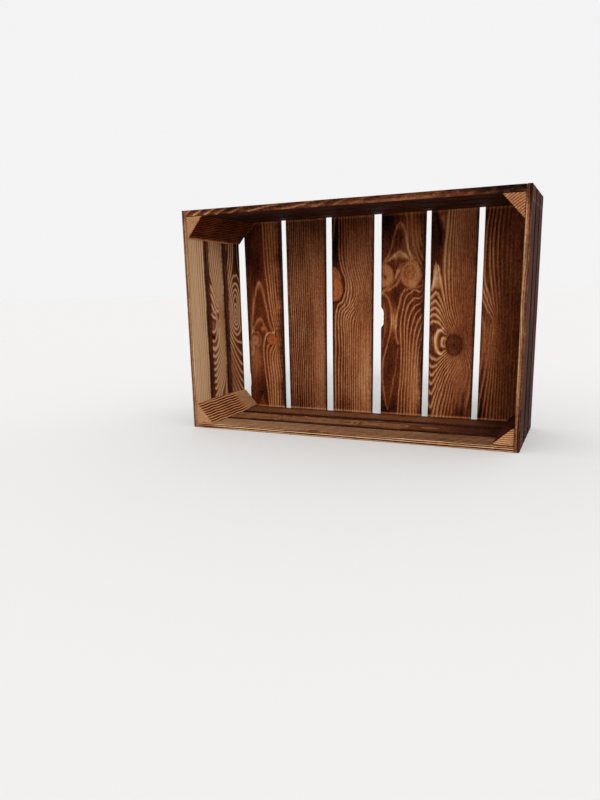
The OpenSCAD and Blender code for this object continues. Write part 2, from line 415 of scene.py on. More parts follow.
BOARDS["floor_slat_5"] = dict(
    origin=410,
    lines=[
        (8, [(-1, 186), (8, 191), (17, 188), (25, 180), (33, 171)]),
        (7, [(-1, 198), (8, 203), (17, 198), (26, 187), (34, 174)]),
        (6, [(-1, 209), (9, 215), (18, 208), (27, 193), (35, 177)]),
        (5, [(-1, 220), (10, 228), (19, 219), (28, 200), (36, 180)]),
        (4, [(-1, 232), (11, 243), (20, 230), (29, 208), (38, 183)]),
        (3, [(3, 250), (9, 275), (13, 291), (18, 275), (24, 245), (31, 215), (41, 187)]),
        (2, [(33, 390), (30, 345), (26, 310), (26, 280), (30, 245), (36, 212), (44, 188)]),
        (1, [(38, 390), (36, 345), (34, 300), (35, 260), (39, 222), (48, 190)]),
        (0, [(43, 390), (41, 300), (43, 235), (51, 192)]),
        (-4, [(56, 390), (55, 300), (57, 230), (61, 185)]),
        (-8, [(69, 390), (69, 300), (70, 230), (71, 175)]),
        (-11, [(80, 390), (80, 230), (81, 150)]),
        (2.5, [(0, 320), (10, 330), (2, 360)]),
        (2.6, [(2, 390), (14, 350), (14, 370)]),
        (8, [(-1, 130), (7, 121), (16, 118), (26, 126), (33, 133)]),
        (7, [(-1, 113), (5, 106), (12, 107), (20, 114), (28, 122), (35, 129)]),
        (6, [(-1, 97), (5, 90), (11, 93), (19, 104), (27, 115), (37, 126)]),
        (5, [(-1, 81), (5, 74), (10, 78), (18, 93), (27, 108), (38, 122)]),
        (4, [(-1, 63), (5, 55), (10, 60), (17, 78), (25, 96), (39, 118)]),
        (3, [(-1, 40), (5, 28), (10, 40), (17, 62), (25, 84), (40, 113)]),
        (2, [(9, 8), (14, 35), (21, 60), (29, 85), (41, 108)]),
        (1, [(17, 8), (21, 35), (28, 60), (35, 84), (44, 104)]),
        (0, [(25, 8), (29, 35), (35, 60), (42, 88), (50, 104)]),
        (-2, [(37, 8), (43, 50), (52, 88), (60, 108)]),
        (-5, [(60, 8), (64, 60), (70, 118)]),
        (-7, [(80, 8), (80, 118)]),
    ],
    loops=[(10, 27, 152, 3, 8), (9, 24, 152, 13, 22)],
    strokes=[
        (6.5, 0.34, [(12, 256), (13, 266)]),
        (3.8, 0.26, [(13, 272), (14, 284)]),
        (1.8, 0.14, [(13, 288), (13, 278)]),
        (3.4, 0.20, [(26, 177), (16, 172), (11, 160), (10, 146), (14, 135), (24, 130)]),
        (2.4, 0.14, [(26, 160), (25, 146)]),
        (7.0, 0.16, [(17, 390), (21, 378)]),
        (3.5, 0.14, [(21, 376), (25, 360)]),
        (3.0, -0.12, [(5, 392), (11, 376), (16, 356), (18, 330)]),
    ],
    knots=[(47, 147, 16, 19, 0.20, 0.2)],
    tone=0.29,
    tones=[(52, 178, 18, 10, -0.02), (0, 345, 14, 40, -0.07), (60, 12, 28, 26, -0.16),
           (58, 90, 16, 40, 0.08), (8, 160, 18, 90, 0.05), (30, 330, 6, 70, 0.06),
           # (40, 396, 60, 12, -0.05) darkens the whole top end: partly painted shade under the top side,
           # partly char.
           (40, 396, 60, 12, -0.05), (72, 300, 14, 90, -0.03), (50, 360, 24, 60, 0.07)],
    plain=[(60, 80, 20, 60, 0.95), (60, 160, 22, 24, 0.9), (66, 330, 28, 110, 0.75),
           (66, 220, 20, 60, 0.6), (62, 14, 22, 24, 0.7)],
    contrast=0.37,
    redness=0.3,
    line=4.0,
    char=(1, 3),
)

BOARDS["floor_slat_6"] = dict(
    origin=504,
    lines=[
        (2, [(16, 390), (12, 350), (11, 310), (13, 280), (18, 250), (24, 215), (27, 195)]),
        (1, [(22, 390), (18, 350), (17, 310), (20, 280), (25, 245), (29, 212), (30, 192)]),
        (0, [(28, 390), (25, 350), (25, 310), (28, 270), (32, 230), (34, 195)]),
        (3, [(10, 390), (5, 350), (3, 310), (4, 270), (8, 250), (17, 224), (25, 200)]),
        (4, [(-1, 260), (7, 236), (15, 216), (23, 198)]),
        (5, [(-1, 240), (7, 221), (14, 207), (21, 194)]),
        (5.5, [(-1, 225), (6, 208), (12, 190)]),
        (5, [(19, 184), (16, 150), (12, 110), (6, 70), (1, 30)]),
        (4, [(23, 184), (21, 150), (18, 100), (13, 60), (8, 8)]),
        (3, [(26, 184), (24, 150), (22, 100), (19, 60), (15, 8)]),
        (2, [(28, 184), (27, 150), (26, 100), (25, 60), (22, 8)]),
        (1, [(31, 184), (31, 150), (31, 100), (30, 60), (29, 8)]),
        (0, [(35, 184), (35, 150), (35, 100), (35, 60), (35, 8)]),
        (-3, [(50, 390), (51, 200), (50, 8)]),
        (-8, [(80, 390), (80, 200), (80, 8)]),
    ],
    tone=0.26,
    tones=[(2, 10, 14, 44, -0.2), (10, 240, 14, 70, 0.10), (14, 140, 18, 56, 0.12),
           # (82, 230, 22, 300, -0.06) darkens the right edge all along: painted shadow of the right
           # wall. (30, 396, 60, 20, -0.05) darkens the whole top end: partly painted shade under the top
           # side, partly char.
           (82, 230, 22, 300, -0.06), (14, 366, 20, 44, -0.09), (30, 396, 60, 20, -0.05)],
    plain=[(64, 240, 28, 260, 0.95), (12, 150, 20, 56, 0.9), (40, 220, 14, 240, 0.75)],
    contrast=0.34,
    redness=0.4,
    line=2.6,
    char=(1, 6),
)

BOARDS["left_end_front"] = dict(
    lines=[(0, [(0, 0), (1, 130), (0, 270), (0, 400)]),
           (4.5, [(24, 0), (27, 130), (22, 270), (25, 400)]),
           (9, [(57, 0), (57, 130), (57, 270), (57, 400)])],
    tone=0.69,
    tones=[(50, 200, 8, 300, -0.08), (20, 150, 20, 100, 0.05), (30, 340, 30, 50, -0.03),
           (0, 200, 5, 400, -0.14), (40, 60, 16, 50, -0.03)],
    strokes=[(1.4, -0.13, [(12, 370), (10, 280), (13, 200), (12, 90)]),
             (1.4, -0.12, [(30, 380), (32, 220), (29, 160)]),
             (1.2, -0.12, [(22, 190), (20, 80), (23, 40)]),
             (1.2, -0.10, [(38, 330), (40, 240), (38, 180)]),
             (2.2, 0.06, [(24, 330), (26, 250), (22, 190)]),
             (2.4, 0.07, [(6, 260), (7, 160), (6, 60)]), (2.0, 0.06, [(36, 170), (38, 120), (35, 60)]),
             (1.0, -0.10, [(45, 300), (44, 180), (46, 60)])],
    contrast=0.7,
    redness=0.12,
    line=3.6,
    char=(0, 5),
    rim=(0.36, 0.24, 0.24, -0.7),
    rim_marks=[(392, 12, -0.14, 0), (30, 40, -0.06, 0)],
)

BOARDS["left_end_middle"] = dict(
    lines=[
        (3, [(2, 390), (2, 340), (4, 305), (10, 280), (18, 262)]),
        (2, [(8, 390), (7, 340), (10, 305), (17, 275), (26, 250)]),
        (1, [(14, 390), (14, 340), (17, 305), (24, 270), (31, 245)]),
        (0, [(21, 390), (21, 340), (25, 300), (31, 262), (36, 235)]),
        (-1, [(29, 390), (30, 330), (35, 275), (40, 232)]),
        (-3, [(42, 390), (43, 330), (46, 262), (48, 220)]),
        (-5, [(56, 390), (55, 200), (55, 100), (54, 8)]),
        (4, [(-1, 268), (7, 264), (15, 250), (21, 234)]),
        (5, [(-1, 250), (8, 245), (14, 235), (22, 220)]),
        (6, [(-1, 232), (8, 226), (14, 216), (22, 206)]),
        (7, [(-1, 212), (7, 208), (14, 204), (21, 200)]),
        (6, [(-1, 162), (8, 158), (16, 162), (22, 175), (24, 192)]),
        (5, [(-1, 150), (8, 143), (19, 145), (27, 155), (30, 172), (31, 195), (34, 216)]),
        (4, [(-1, 133), (10, 128), (22, 133), (32, 147), (36, 170), (37, 200)]),
        (3, [(-1, 118), (10, 115), (22, 124), (33, 138), (41, 162)]),
        (2, [(-1, 104), (10, 102), (22, 112), (34, 128), (44, 150)]),
        (1, [(-1, 91), (10, 90), (22, 101), (34, 118), (46, 138)]),
        (0, [(-1, 78), (10, 78), (22, 90), (35, 108), (47, 128)]),
        (-1, [(-1, 64), (10, 65), (20, 76), (32, 95), (45, 117)]),
        (-2, [(2, 50), (10, 52), (19, 62), (30, 82), (43, 105)]),
        (-3, [(10, 38), (20, 51), (30, 70), (43, 94)]),
        (-4, [(22, 38), (32, 57), (46, 84)]),
    ],
    strokes=[
        (3.6, 0.26, [(0, 146), (10, 141), (20, 146), (27, 158), (30, 180)]),
        (5.5, 0.20, [(0, 261), (8, 258)]),
        (5.0, 0.20, [(0, 243), (10, 240)]),
        (4.5, -0.24, [(2, 168), (12, 164)]),
        (1.6, 0.12, [(2, 196), (14, 190), (18, 180)]),
        (1.6, -0.10, [(2, 203), (12, 201)]),
    ],
    tone=0.51,
    # (30, 376, 60, 40, -0.12) darkens the whole top end: painted shade under the top side.
    tones=[(30, 100, 20, 50, 0.02), (44, 260, 16, 130, 0.06), (30, 376, 60, 40, -0.12),
           (6, 184, 8, 8, 0.08)],
    plain=[(46, 200, 14, 200, 0.5)],
    contrast=0.5,
    redness=0.2,
    line=3.6,
    char=(4, 5),
)

BOARDS["left_end_back"] = dict(
    lines=[
        (4, [(20, 225), (27, 240), (33, 246), (39, 238), (42, 222), (42, 200), (37, 186), (28, 188),
             (21, 200)]),
        (3, [(14, 225), (20, 245), (33, 257), (44, 245), (48, 222), (47, 195), (38, 176), (24, 180),
             (16, 198)]),
        (2, [(9, 225), (16, 252), (34, 268), (48, 255), (54, 225), (53, 190), (42, 166), (24, 170),
             (12, 192)]),
        (1, [(5, 225), (11, 258), (35, 283), (52, 270), (58, 230)]),
        (1, [(5, 195), (22, 158), (40, 148), (58, 150)]),
        (0, [(2, 180), (18, 150), (38, 128), (58, 118)]),
        (-1, [(0, 165), (15, 140), (35, 113), (58, 98)]),
        (-2, [(0, 150), (15, 122), (35, 95), (58, 75)]),
        (-4, [(0, 120), (15, 92), (35, 62), (58, 40)]),
        (-6, [(0, 85), (15, 60), (35, 30), (58, 5)]),
        (0, [(31, 390), (30, 340), (26, 310), (16, 285), (6, 262)]),
        (-1, [(24, 390), (23, 340), (18, 310), (8, 285), (0, 262)]),
        (-2, [(16, 390), (15, 345), (8, 310), (0, 290)]),
        (0, [(48, 390), (48, 330), (54, 290)]),
    ],
    loops=[(6, 32, 208, 3, 8), (5, 32, 210, 6.5, 17)],
    tone=0.44,
    tones=[(54, 350, 14, 70, -0.40), (58, 220, 7, 200, -0.2), (20, 340, 18, 60, -0.08),
           (14, 250, 12, 60, 0.04), (30, 80, 30, 60, -0.03)],
    plain=[(14, 80, 22, 60, 0.75)],
    contrast=0.52,
    redness=0.25,
    line=3.4,
    char=(5, 4),
)

BOARDS["right_end_front"] = dict(
    lines=straight_lines(END_LENGTH, 4.0, 4, 51),
    knots=[(52, 250, 5, 9, 0.30, 0.3)],
    tone=0.30,
    contrast=0.10,
    char=(0, 6),
    outside=0.16,
    # The rim's lighter inside half is a painted highlight, and the first two rim marks fade it towards
    # both ends.
    rim=(0.39, 0.20, 0.12, -0.95),
    rim_marks=[(392, 22, -0.18, 0), (20, 50, -0.12, 0), (190, 12, 0.07, 0)],
)

BOARDS["right_end_middle"] = dict(
    lines=arched_lines(END_LENGTH, 31, (120, 165, 210, 270, 340), 1),
    tone=0.28,
    contrast=0.16,
    char=(6, 6),
    outside=0.15,
)

BOARDS["right_end_back"] = dict(
    lines=straight_lines(END_LENGTH, 3.6, 5, 61),
    tone=0.26,
    contrast=0.12,
    char=(6, 7),
    outside=0.15,
)

# The top side's inside face looks down into the crate: its very low tones are partly char and partly
# painted shade.
BOARDS["top_side_front"] = dict(
    lines=straight_lines(SIDE_LENGTH, 4.2, 9, 31, drift=1 / 38),
    tone=0.10,
    contrast=0.12,
    char=(0, 6),
    rim=(0.27, 0.18, 0.3, -0.45),
    rim_marks=[(20, 30, 0.08, 0), (110, 60, -0.04, -0.3), (410, 200, 0.01, -0.9),
               (560, 70, -0.14, -0.6)],
    through_gap=9,
)

BOARDS["top_side_middle"] = dict(
    lines=arched_lines(SIDE_LENGTH, 30, (180, 240, 300, 380, 470), 1),
    tone=0.12,
    contrast=0.12,
    char=(7, 7),
)

BOARDS["top_side_back"] = dict(
    lines=straight_lines(SIDE_LENGTH, 3.8, 5, 43),
    tone=0.13,
    contrast=0.12,
    char=(7, 8),
)

BOARDS["bottom_side_front"] = dict(
    lines=straight_lines(SIDE_LENGTH, 8.5, 3, 11),
    knots=[(8, 240, 5, 9, 0.24, 0.2)],
    tone=0.39,
    # The first two patches darken the inside face more and more towards the right end: painted shade
    # from the right wall.
    tones=[(28, 520, 60, 120, -0.13), (28, 320, 60, 130, -0.05), (10, 60, 20, 60, 0.04)],
    strokes=[(1.2, -0.12, [(14, 330), (16, 450), (13, 570)]),
             (1.0, -0.12, [(24, 120), (26, 300), (23, 420)]),
             (1.4, -0.10, [(38, 60), (36, 220), (39, 380)]), (1.0, 0.10, [(31, 380), (33, 560)]),
             (1.2, 0.08, [(18, 40), (20, 260)])],
    contrast=0.46,
    line=3.4,
    char=(0, 3),
    rim=(0.22, 0.09, 0.85, -0.1),
    rim_marks=[(480, 120, -0.04, 0), (20, 30, 0.03, -0.5)],
    through_gap=3.6,
)

BOARDS["bottom_side_middle"] = dict(
    lines=arched_lines(SIDE_LENGTH, 26, (420, 370, 320, 250, 160), -1),
    tone=0.39,
    # The first patch darkens the inside face towards the right end: painted shade from the right wall.
    tones=[(28, 540, 60, 80, -0.14), (20, 380, 20, 16, 0.06)],
    contrast=0.24,
    char=(4, 6),
)

BOARDS["bottom_side_back"] = dict(
    lines=straight_lines(SIDE_LENGTH, 3.6, 6, 23),
    tone=0.27,
    # The first patch darkens the inside face towards the right end: painted shade from the right wall.
    tones=[(28, 540, 60, 80, -0.12), (28, 250, 60, 200, 0.02)],
    contrast=0.24,
    redness=-0.1,
    char=(4, 9),
)

# For each wall: the directions across a board, along it, and from its inside face to its outside
WALL_AXES = {
    "floor": ((1, 0, 0), (0, 0, 1), (0, 1, 0)),
    "left": ((0, 1, 0), (0, 0, 1), (-1, 0, 0)),
    "right": ((0, 1, 0), (0, 0, 1), (1, 0, 0)),
    "bottom": ((0, 1, 0), (1, 0, 0), (0, 0, -1)),
    "top": ((0, 1, 0), (1, 0, 0), (0, 0, 1)),
}
GRAIN_STRETCH = np.array([1, 0.3])
THROUGH_SLANT = 0.8
THROUGH_RING_GAP = 3.4
KNOT_RING_GAP = 3.5
LOOP_POINTS = 8
LINE_WIDTH = 2.4
SHARPNESS_RANGE = (2.3, 60)
CLEAR_SPACING = (1.0, 3.6)
SEED_SHIFT = np.array([37.0, 911.0, 53.0])


def ring_field(spec, across, along, through):
    """Which growth ring each point of a board is in, as a smooth number, and that number's slope."""
    points = []
    rings = []
    for ring, line in spec["lines"]:
        points += line
        rings += [ring] * len(line)
    for ring, middle_across, middle_along, half_width, half_length in spec.get("loops", ()):
        for turn in np.arange(LOOP_POINTS) * 2 * math.pi / LOOP_POINTS:
            points.append((middle_across + half_width * math.cos(turn),
                           middle_along + half_length * math.sin(turn)))
            rings.append(ring)
    at = np.column_stack([across, along + THROUGH_SLANT * through]) * GRAIN_STRETCH
    drawn = np.array(points, float) * GRAIN_STRETCH
    rings, slope = smooth_surface(drawn, np.array(rings, float), at)
    slope = slope * GRAIN_STRETCH
    through_slope = 1 / spec.get("through_gap", THROUGH_RING_GAP)
    rings += through * through_slope
    for knot in spec.get("knots", ()):
        inside = np.clip(1 - oval_reach(knot, across, along), 0, 1)
        rings += inside * max(knot[2:4]) / KNOT_RING_GAP
    return rings, np.column_stack([slope, slope[:, 1] * THROUGH_SLANT + through_slope])


def store_wood(piece, normals, points, rings, slope, line_width, look, seed):
    """Keeps what the wood material reads, for each point of a mesh. Where the ring lines come too
    close together on the surface to be told apart, they fade."""
    along_normal = (slope * normals).sum(1)
    spacing = 1 / np.sqrt(np.maximum((slope ** 2).sum(1) - along_normal ** 2, TINY))
    tone, contrast, redness = look
    values = {
        "grain": points + seed * SEED_SHIFT,
        "rings": rings,
        "sharpness": np.clip(spacing / line_width, *SHARPNESS_RANGE),
        "tone": tone,
        "contrast": contrast * smooth_step(spacing, *CLEAR_SPACING),
        "redness": redness,
    }
    for name, value in values.items():
        kind, field = ("FLOAT", "value") if value.ndim == 1 else ("FLOAT_VECTOR", "vector")
        attribute = piece.data.attributes.new(name, kind, "POINT")
        attribute.data.foreach_set(field, value.astype(np.float32).ravel())


# ---------------------------------------------------------------------------------------------
# Meshes
# ---------------------------------------------------------------------------------------------

EDGE_RADIUS = 0.9
EDGE_STATIONS = (0, 0.2, 0.5)
BOARD_STEPS = (1.8, 2.5, 1.6)
WEAR_EDGE = 0.15
WEAR_FACE = 0.12
WEAR_OUTSIDE = 0.32
EDGE_FALL = 7
END_FALL = 60
END_SLANT = 3
INSIDE_SLANT = 2
OUTSIDE_SLANT = 3
CHIP_SQUARENESS = 8


def stations(size, step):
    """Places along one side of a box: close together at its two edges, a step apart between."""
    count = max(1, round((size - 2 * EDGE_RADIUS) / step))
    middle = np.linspace(EDGE_RADIUS, size - EDGE_RADIUS, count + 1)
    start = np.array(EDGE_STATIONS)
    return np.concatenate([start, middle, size - start[::-1]])


def box_skin(across, along, through):
    """Points and four-sided faces on the skin of a box, where the three lists of stations meet."""
    shape = (len(across), len(along), len(through))
    skin = np.zeros(shape, bool)
    skin[[0, -1]] = True
    skin[:, [0, -1]] = True
    skin[:, :, [0, -1]] = True
    number = np.full(shape, -1)
    number[skin] = np.arange(skin.sum())
    places = np.indices(shape)[:, skin]
    points = np.column_stack([across[places[0]], along[places[1]], through[places[2]]])
    faces = []
    for axis in range(3):
        for end in (0, -1):
            sheet = np.take(number, end, axis)
            corners = [sheet[:-1, :-1], sheet[1:, :-1], sheet[1:, 1:], sheet[:-1, 1:]]
            quads = np.stack(corners, -1).reshape(-1, 4)
            looks_in = (end == 0) != (axis == 1)
            faces.append(quads[:, ::-1] if looks_in else quads)
    return points, np.concatenate(faces)


def rounded(points, size):
    """The same points with the box's edges and corners rounded off."""
    inner = np.clip(points, EDGE_RADIUS, size - EDGE_RADIUS)
    out = points - inner
    return inner + out * EDGE_RADIUS / np.linalg.norm(out, axis=1, keepdims=True)


def worn(points, size, spec, seed):
    """The same points with sawn, brushed and chipped faces, always inside the box."""
    across, along, through = points.T
    share_across, share_along, share_through = (points / size).T
    low_edge = WEAR_EDGE + uneven("low edge", along, seed)
    high_edge = WEAR_EDGE + uneven("high edge", along, seed)
    for place, half_length, depth in spec.get("chips", ()):
        bite = depth * np.exp(-((along - place) / half_length) ** CHIP_SQUARENESS)
        low_edge += bite * (1 + uneven("chip", along, seed))
    low_end = WEAR_EDGE + uneven("low end", across + END_SLANT * through, seed)
    high_end = WEAR_EDGE + uneven("high end", across - END_SLANT * through, seed)
    inside_dip = WEAR_FACE + uneven("inside face", along + INSIDE_SLANT * across, seed)
    outside_dip = WEAR_OUTSIDE + uneven("outside face", along - OUTSIDE_SLANT * across, seed)
    return np.column_stack([
        across + low_edge * (1 - share_across) ** EDGE_FALL - high_edge * share_across ** EDGE_FALL,
        along + low_end * (1 - share_along) ** END_FALL - high_end * share_along ** END_FALL,
        through + inside_dip * (1 - share_through) - outside_dip * share_through,
    ])


def point_normals(piece):
    """The surface's direction at each point of a mesh."""
    normals = np.zeros(3 * len(piece.data.vertices), np.float32)
    piece.data.vertex_normals.foreach_get("vector", normals)
    return normals.reshape(-1, 3)


def mesh_piece(name, points, faces):
    """A mesh object with smooth faces, from points in metres."""
    mesh = bpy.data.meshes.new(name)
    mesh.from_pydata(points.tolist(), [], faces)
    mesh.polygons.foreach_set("use_smooth", [True] * len(mesh.polygons))
    piece = bpy.data.objects.new(name, mesh)
    bpy.context.scene.collection.objects.link(piece)
    return piece


def cad_box_of(node):
    """Low and high corner of a CAD node, in millimetres."""
    return [np.array(corner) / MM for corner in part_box(node)]


def cad_corners(node):
    """The corner points of a CAD node, in millimetres."""
    return np.array([tuple(vertex.co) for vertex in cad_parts[node].data.vertices]) / MM


# ---------------------------------------------------------------------------------------------
# Boards
# ---------------------------------------------------------------------------------------------

# How much a charred edge takes over the wood's tone and its contrast, and what it turns them into
CHAR_TONE = 0.1
CHAR_REDNESS = -0.9
CHAR_COVER = 0.9
CHAR_LOSS = 0.85
# A knot's sharp border, its dark rim and dark middle (depth, width), and how plain it is inside
KNOT_COVER = 0.9
KNOT_BORDER = (-1.12, -0.85)
KNOT_RIM = (0.07, 0.14)
KNOT_MIDDLE = (0.14, 0.16)
KNOT_LOSS = 0.75
# Where the look of the rim edge ends, how it changes across the thickness, and where outside starts
RIM_REACH = 1.6
RIM_CHANGE = (0.2, 0.7)
OUTSIDE_START = (0.3, 0.9)
OUTSIDE_TONE = 0.125
OUTSIDE_CHANGE = 0.02
OUTSIDE_CHAR = 0.1
OUTSIDE_CONTRAST = 0.12
OUTSIDE_REDNESS = 0.1
# The pale lines left on a floor slat in its corners with the long sides, below and above
JOINT_TONE = 0.6
JOINT_WIDTH = 1.8
JOINT_PLACE = 0.7
JOINT_COVER = (0.75, 0.45)
JOINT_DEPTH = 2


def inside_look(spec, across, along, edges, seed):
    """Tone, contrast and redness of the inside face at each point of a board, and how charred it is."""
    tone = np.full_like(across, spec["tone"])
    contrast = np.full_like(across, spec["contrast"])
    redness = np.full_like(across, spec.get("redness", 0.0))
    for *patch, change in spec.get("tones", ()):
        tone += change * bell(oval_reach(patch, across, along))
    for *patch, loss in spec.get("plain", ()):
        contrast *= 1 - loss * bell(oval_reach(patch, across, along))
    sway_across = across + uneven("drawn across", along, seed)
    sway_along = along + uneven("drawn along", across, seed)
    for half_width, change, path in spec.get("strokes", ()):
        tone += change * bell(path_distance(path, sway_across, sway_along) / half_width)
    for *oval, half_band, change in spec.get("halos", ()):
        from_band = (oval_reach(oval, sway_across, sway_along) - 1) * min(oval[2:])
        tone += change * bell(from_band / half_band)
    burnt = 0
    for edge, from_edge, char in zip(("low char", "high char"), edges, spec["char"]):
        burnt = burnt + bell(from_edge / (char * (1 + uneven(edge, along, seed)) + TINY))
    burnt = np.clip(burnt, 0, 1)
    for *oval, knot_tone, knot_redness in spec.get("knots", ()):
        reach = oval_reach(oval, across, along)
        inside = smooth_step(-reach, *KNOT_BORDER)
        tone = mix(tone, knot_tone, inside * KNOT_COVER)
        tone -= KNOT_RIM[0] * bell((reach - 1) / KNOT_RIM[1])
        tone -= KNOT_MIDDLE[0] * bell(reach / KNOT_MIDDLE[1])
        redness = mix(redness, knot_redness, inside)
        contrast *= 1 - KNOT_LOSS * inside
    tone = mix(tone, CHAR_TONE, CHAR_COVER * burnt)
    contrast *= 1 - CHAR_LOSS * burnt
    return [tone, contrast, mix(redness, CHAR_REDNESS, burnt)], burnt


def board_look(spec, across, along, through, edges, seed):
    """Tone, contrast and redness at each point of a board. Through is a share of its thickness."""
    look, burnt = inside_look(spec, across, along, edges, seed)
    outside = smooth_step(through, *OUTSIDE_START)
    if "rim" in spec:
        inner, outer, rim_contrast, rim_redness = spec["rim"]
        rim_tone = mix(inner, outer, smooth_step(through, *RIM_CHANGE)) + uneven("rim tone", along, seed)
        for middle, half_length, change, contrast_change in spec["rim_marks"]:
            mark = bell((along - middle) / half_length)
            rim_tone += change * mark
            rim_contrast = rim_contrast * (1 + contrast_change * mark)
        rim = smooth_step(RIM_REACH - edges[0], 0, RIM_REACH)
        look = [mix(*pair, rim) for pair in zip(look, (rim_tone, rim_contrast, rim_redness))]
        outside *= 1 - rim
    outside_tone = spec.get("outside", OUTSIDE_TONE) + OUTSIDE_CHANGE * math.sin(seed)
    outside_tone = outside_tone + uneven("outside tone", along, seed) - OUTSIDE_CHAR * burnt
    outside_look = (outside_tone, OUTSIDE_CONTRAST, OUTSIDE_REDNESS)
    return [mix(*pair, outside) for pair in zip(look, outside_look)]


def joint_light(across, along, through, seed):
    """Where a floor slat is left pale, in the corners that it makes with the two long sides."""
    foot = cad_box_of("bottom_side_back")[1][2] + JOINT_WIDTH * JOINT_PLACE
    head = cad_box_of("top_side_back")[0][2] - JOINT_WIDTH * JOINT_PLACE
    width = JOINT_WIDTH * (1 + uneven("joint", across, seed))
    lines = [cover * bell((along - place) / width) for cover, place in zip(JOINT_COVER, (foot, head))]
    return sum(lines) * (through < JOINT_DEPTH)


def slat_edges(node, along):
    """Left and right edge of an upright board of the CAD, as high up as each of the points."""
    corners = cad_corners(node)
    top = corners[:, 2].max()
    foot = corners[corners[:, 2] < top / 2, 0]
    head = corners[corners[:, 2] > top / 2, 0]
    share = along / top
    return mix(foot.min(), head.min(), share), mix(foot.max(), head.max(), share)


def make_board(node, spec, seed):
    """One board of the crate, in place of its CAD node."""
    low, high = cad_box_of(node)
    axes = np.array(WALL_AXES[node.split("_")[0]], float)
    size = np.abs(axes) @ (high - low)
    start = np.where(axes.sum(0) > 0, low, high)
    points, faces = box_skin(*(stations(side, step) for side, step in zip(size, BOARD_STEPS)))
    points = worn(rounded(points, size), size, spec, seed)
    edges = (points[:, 0].copy(), size[0] - points[:, 0])
    if "origin" in spec:
        left, right = slat_edges(node, points[:, 1])
        points[:, 0] = mix(left, right, points[:, 0] / size[0]) - low[0]
    if np.linalg.det(axes) < 0:
        faces = faces[:, ::-1]
    piece = mesh_piece("wood_" + node, (start + points @ axes) * MM, faces.tolist())
    if "origin" in spec:
        points[:, 0] += low[0] - cad_box[0][0] / MM - spec["origin"]
    across, along, through = points.T
    look = board_look(spec, across, along, through / size[2], edges, seed)
    if "origin" in spec:
        joint = joint_light(across, along, through, seed)
        look[0] = mix(look[0], JOINT_TONE, joint)
        look[1] *= 1 - joint
    rings, slope = ring_field(spec, across, along, through)
    normals = point_normals(piece) @ axes.T
    store_wood(piece, normals, points, rings, slope, spec.get("line", LINE_WIDTH), look, seed)
    return piece


# ---------------------------------------------------------------------------------------------
# Corner posts
# ---------------------------------------------------------------------------------------------
# side, level  1 for the crate's right side and top, -1 for its left side and bottom
# pith      where the middle of the tree was, across the post's two legs
# ring_gap  thickness of a growth ring
# line      width of a light line
# tips      how far the tips of the two legs are cut off, at the rim end and at the floor end
# look      tone, contrast and redness of the long faces
# end_look  the same of the end at the rim
# tip_light how much lighter the long edge at each of the two tips is
# wane      1 for a post whose bark side shows pale towards the floor

POSTS = {
    "post_top_left": dict(
        side=-1, level=1, pith=(-24, 62), ring_gap=3.6, line=1.6, tips=((1, 1), (3, 5)),
        look=(0.09, 0.34, 0.8), end_look=(0.42, 0.12, -0.3), tip_light=(0.04, 0.75), wane=0,
    ),
    "post_top_right": dict(
        side=1, level=1, pith=(-40, 83), ring_gap=3.7, line=1.7, tips=((1, 1), (2, 2)),
        look=(0.13, 0.2, 0.4), end_look=(0.36, 0.26, 0.0), tip_light=(0, 0.05), wane=0,
    ),
    "post_bottom_left": dict(
        side=-1, level=-1, pith=(-14, 66), ring_gap=5.2, line=1.6, tips=((1, 1), (9, 7)),
        look=(0.36, 0.62, 0.6), end_look=(0.47, 0.04, -0.1), tip_light=(0.05, 0.3), wane=1,
    ),
    "post_bottom_right": dict(
        side=1, level=-1, pith=(14, 90), ring_gap=3.4, line=1.5, tips=((3, 7), (2, 2)),
        look=(0.14, 0.2, 0.3), end_look=(0.42, 0.36, 0.2), tip_light=(0.05, 0), wane=0,
    ),
}
FIRST_POST_SEED = 101
POST_STEP = 2.5
CORNER_POINTS = 5
SIDE_POINTS = 14
CAP_LOOPS = 9
RIGHT_ANGLE_CUT = 1.0
# How far the outline is set in at the first loops from an end: (place along, inset)
POST_EDGE = ((0, 0.9), (0.25, 0.35), (0.9, 0))
POST_SINK = 0.175
TIP_CHANGE = (0.62, 0.95)
END_DEPTH = 1.6
WANE_START = (0.62, 0.8)
WANE_TONE = 0.58
WANE_COVER = 0.8
WANE_CONTRAST_LOSS = 0.92
WANE_REDNESS_LOSS = 0.6
TIP_WIDTH = 3.6


def post_outline(legs, tips):
    """A right-angled triangle with rounded corners: its right angle is at the origin."""
    corners = [np.array([0.0, 0.0]), np.array([legs[0], 0.0]), np.array([0.0, legs[1]])]
    cuts = [RIGHT_ANGLE_CUT, *tips]
    outline = []
    for index, corner in enumerate(corners):
        following = (index + 1) % 3
        before = corners[index - 1] - corner
        after = corners[following] - corner
        step = after / np.linalg.norm(after)
        enter = corner + before / np.linalg.norm(before) * cuts[index]
        leave = corner + step * cuts[index]
        arrive = corners[following] - step * cuts[following]
        for share in np.linspace(0, 1, CORNER_POINTS):
            outline.append(mix(mix(enter, corner, share), mix(corner, leave, share), share))
        for share in np.linspace(0, 1, SIDE_POINTS + 2)[1:-1]:
            outline.append(mix(leave, arrive, share))
    return np.array(outline)


def post_loops(legs_at, length, tips, seed):
    """The outlines of a post from its rim end to its floor end, each with its place along."""
    starts, insets = zip(*POST_EDGE)
    count = round((length - 2 * starts[-1]) / POST_STEP)
    middles = np.linspace(starts[-1], length - starts[-1], count)
    places = [*starts[:-1], *middles, *(length - place for place in starts[-2::-1])]
    insets = [*insets[:-1], *([0] * count), *insets[-2::-1]]
    loops = []
    for place, inset in zip(places, insets):
        legs = legs_at(place)
        middle = legs / 3
        inradius = legs.prod() / (legs.sum() + math.hypot(*legs))
        outline = post_outline(legs, mix(*np.array(tips), smooth_step(place / length, *TIP_CHANGE)))
        sink = POST_SINK + uneven("post face", np.array([place]), seed)[0]
        loops.append((place, mix(middle, outline, 1 - (inset + sink) / inradius)))
    return loops


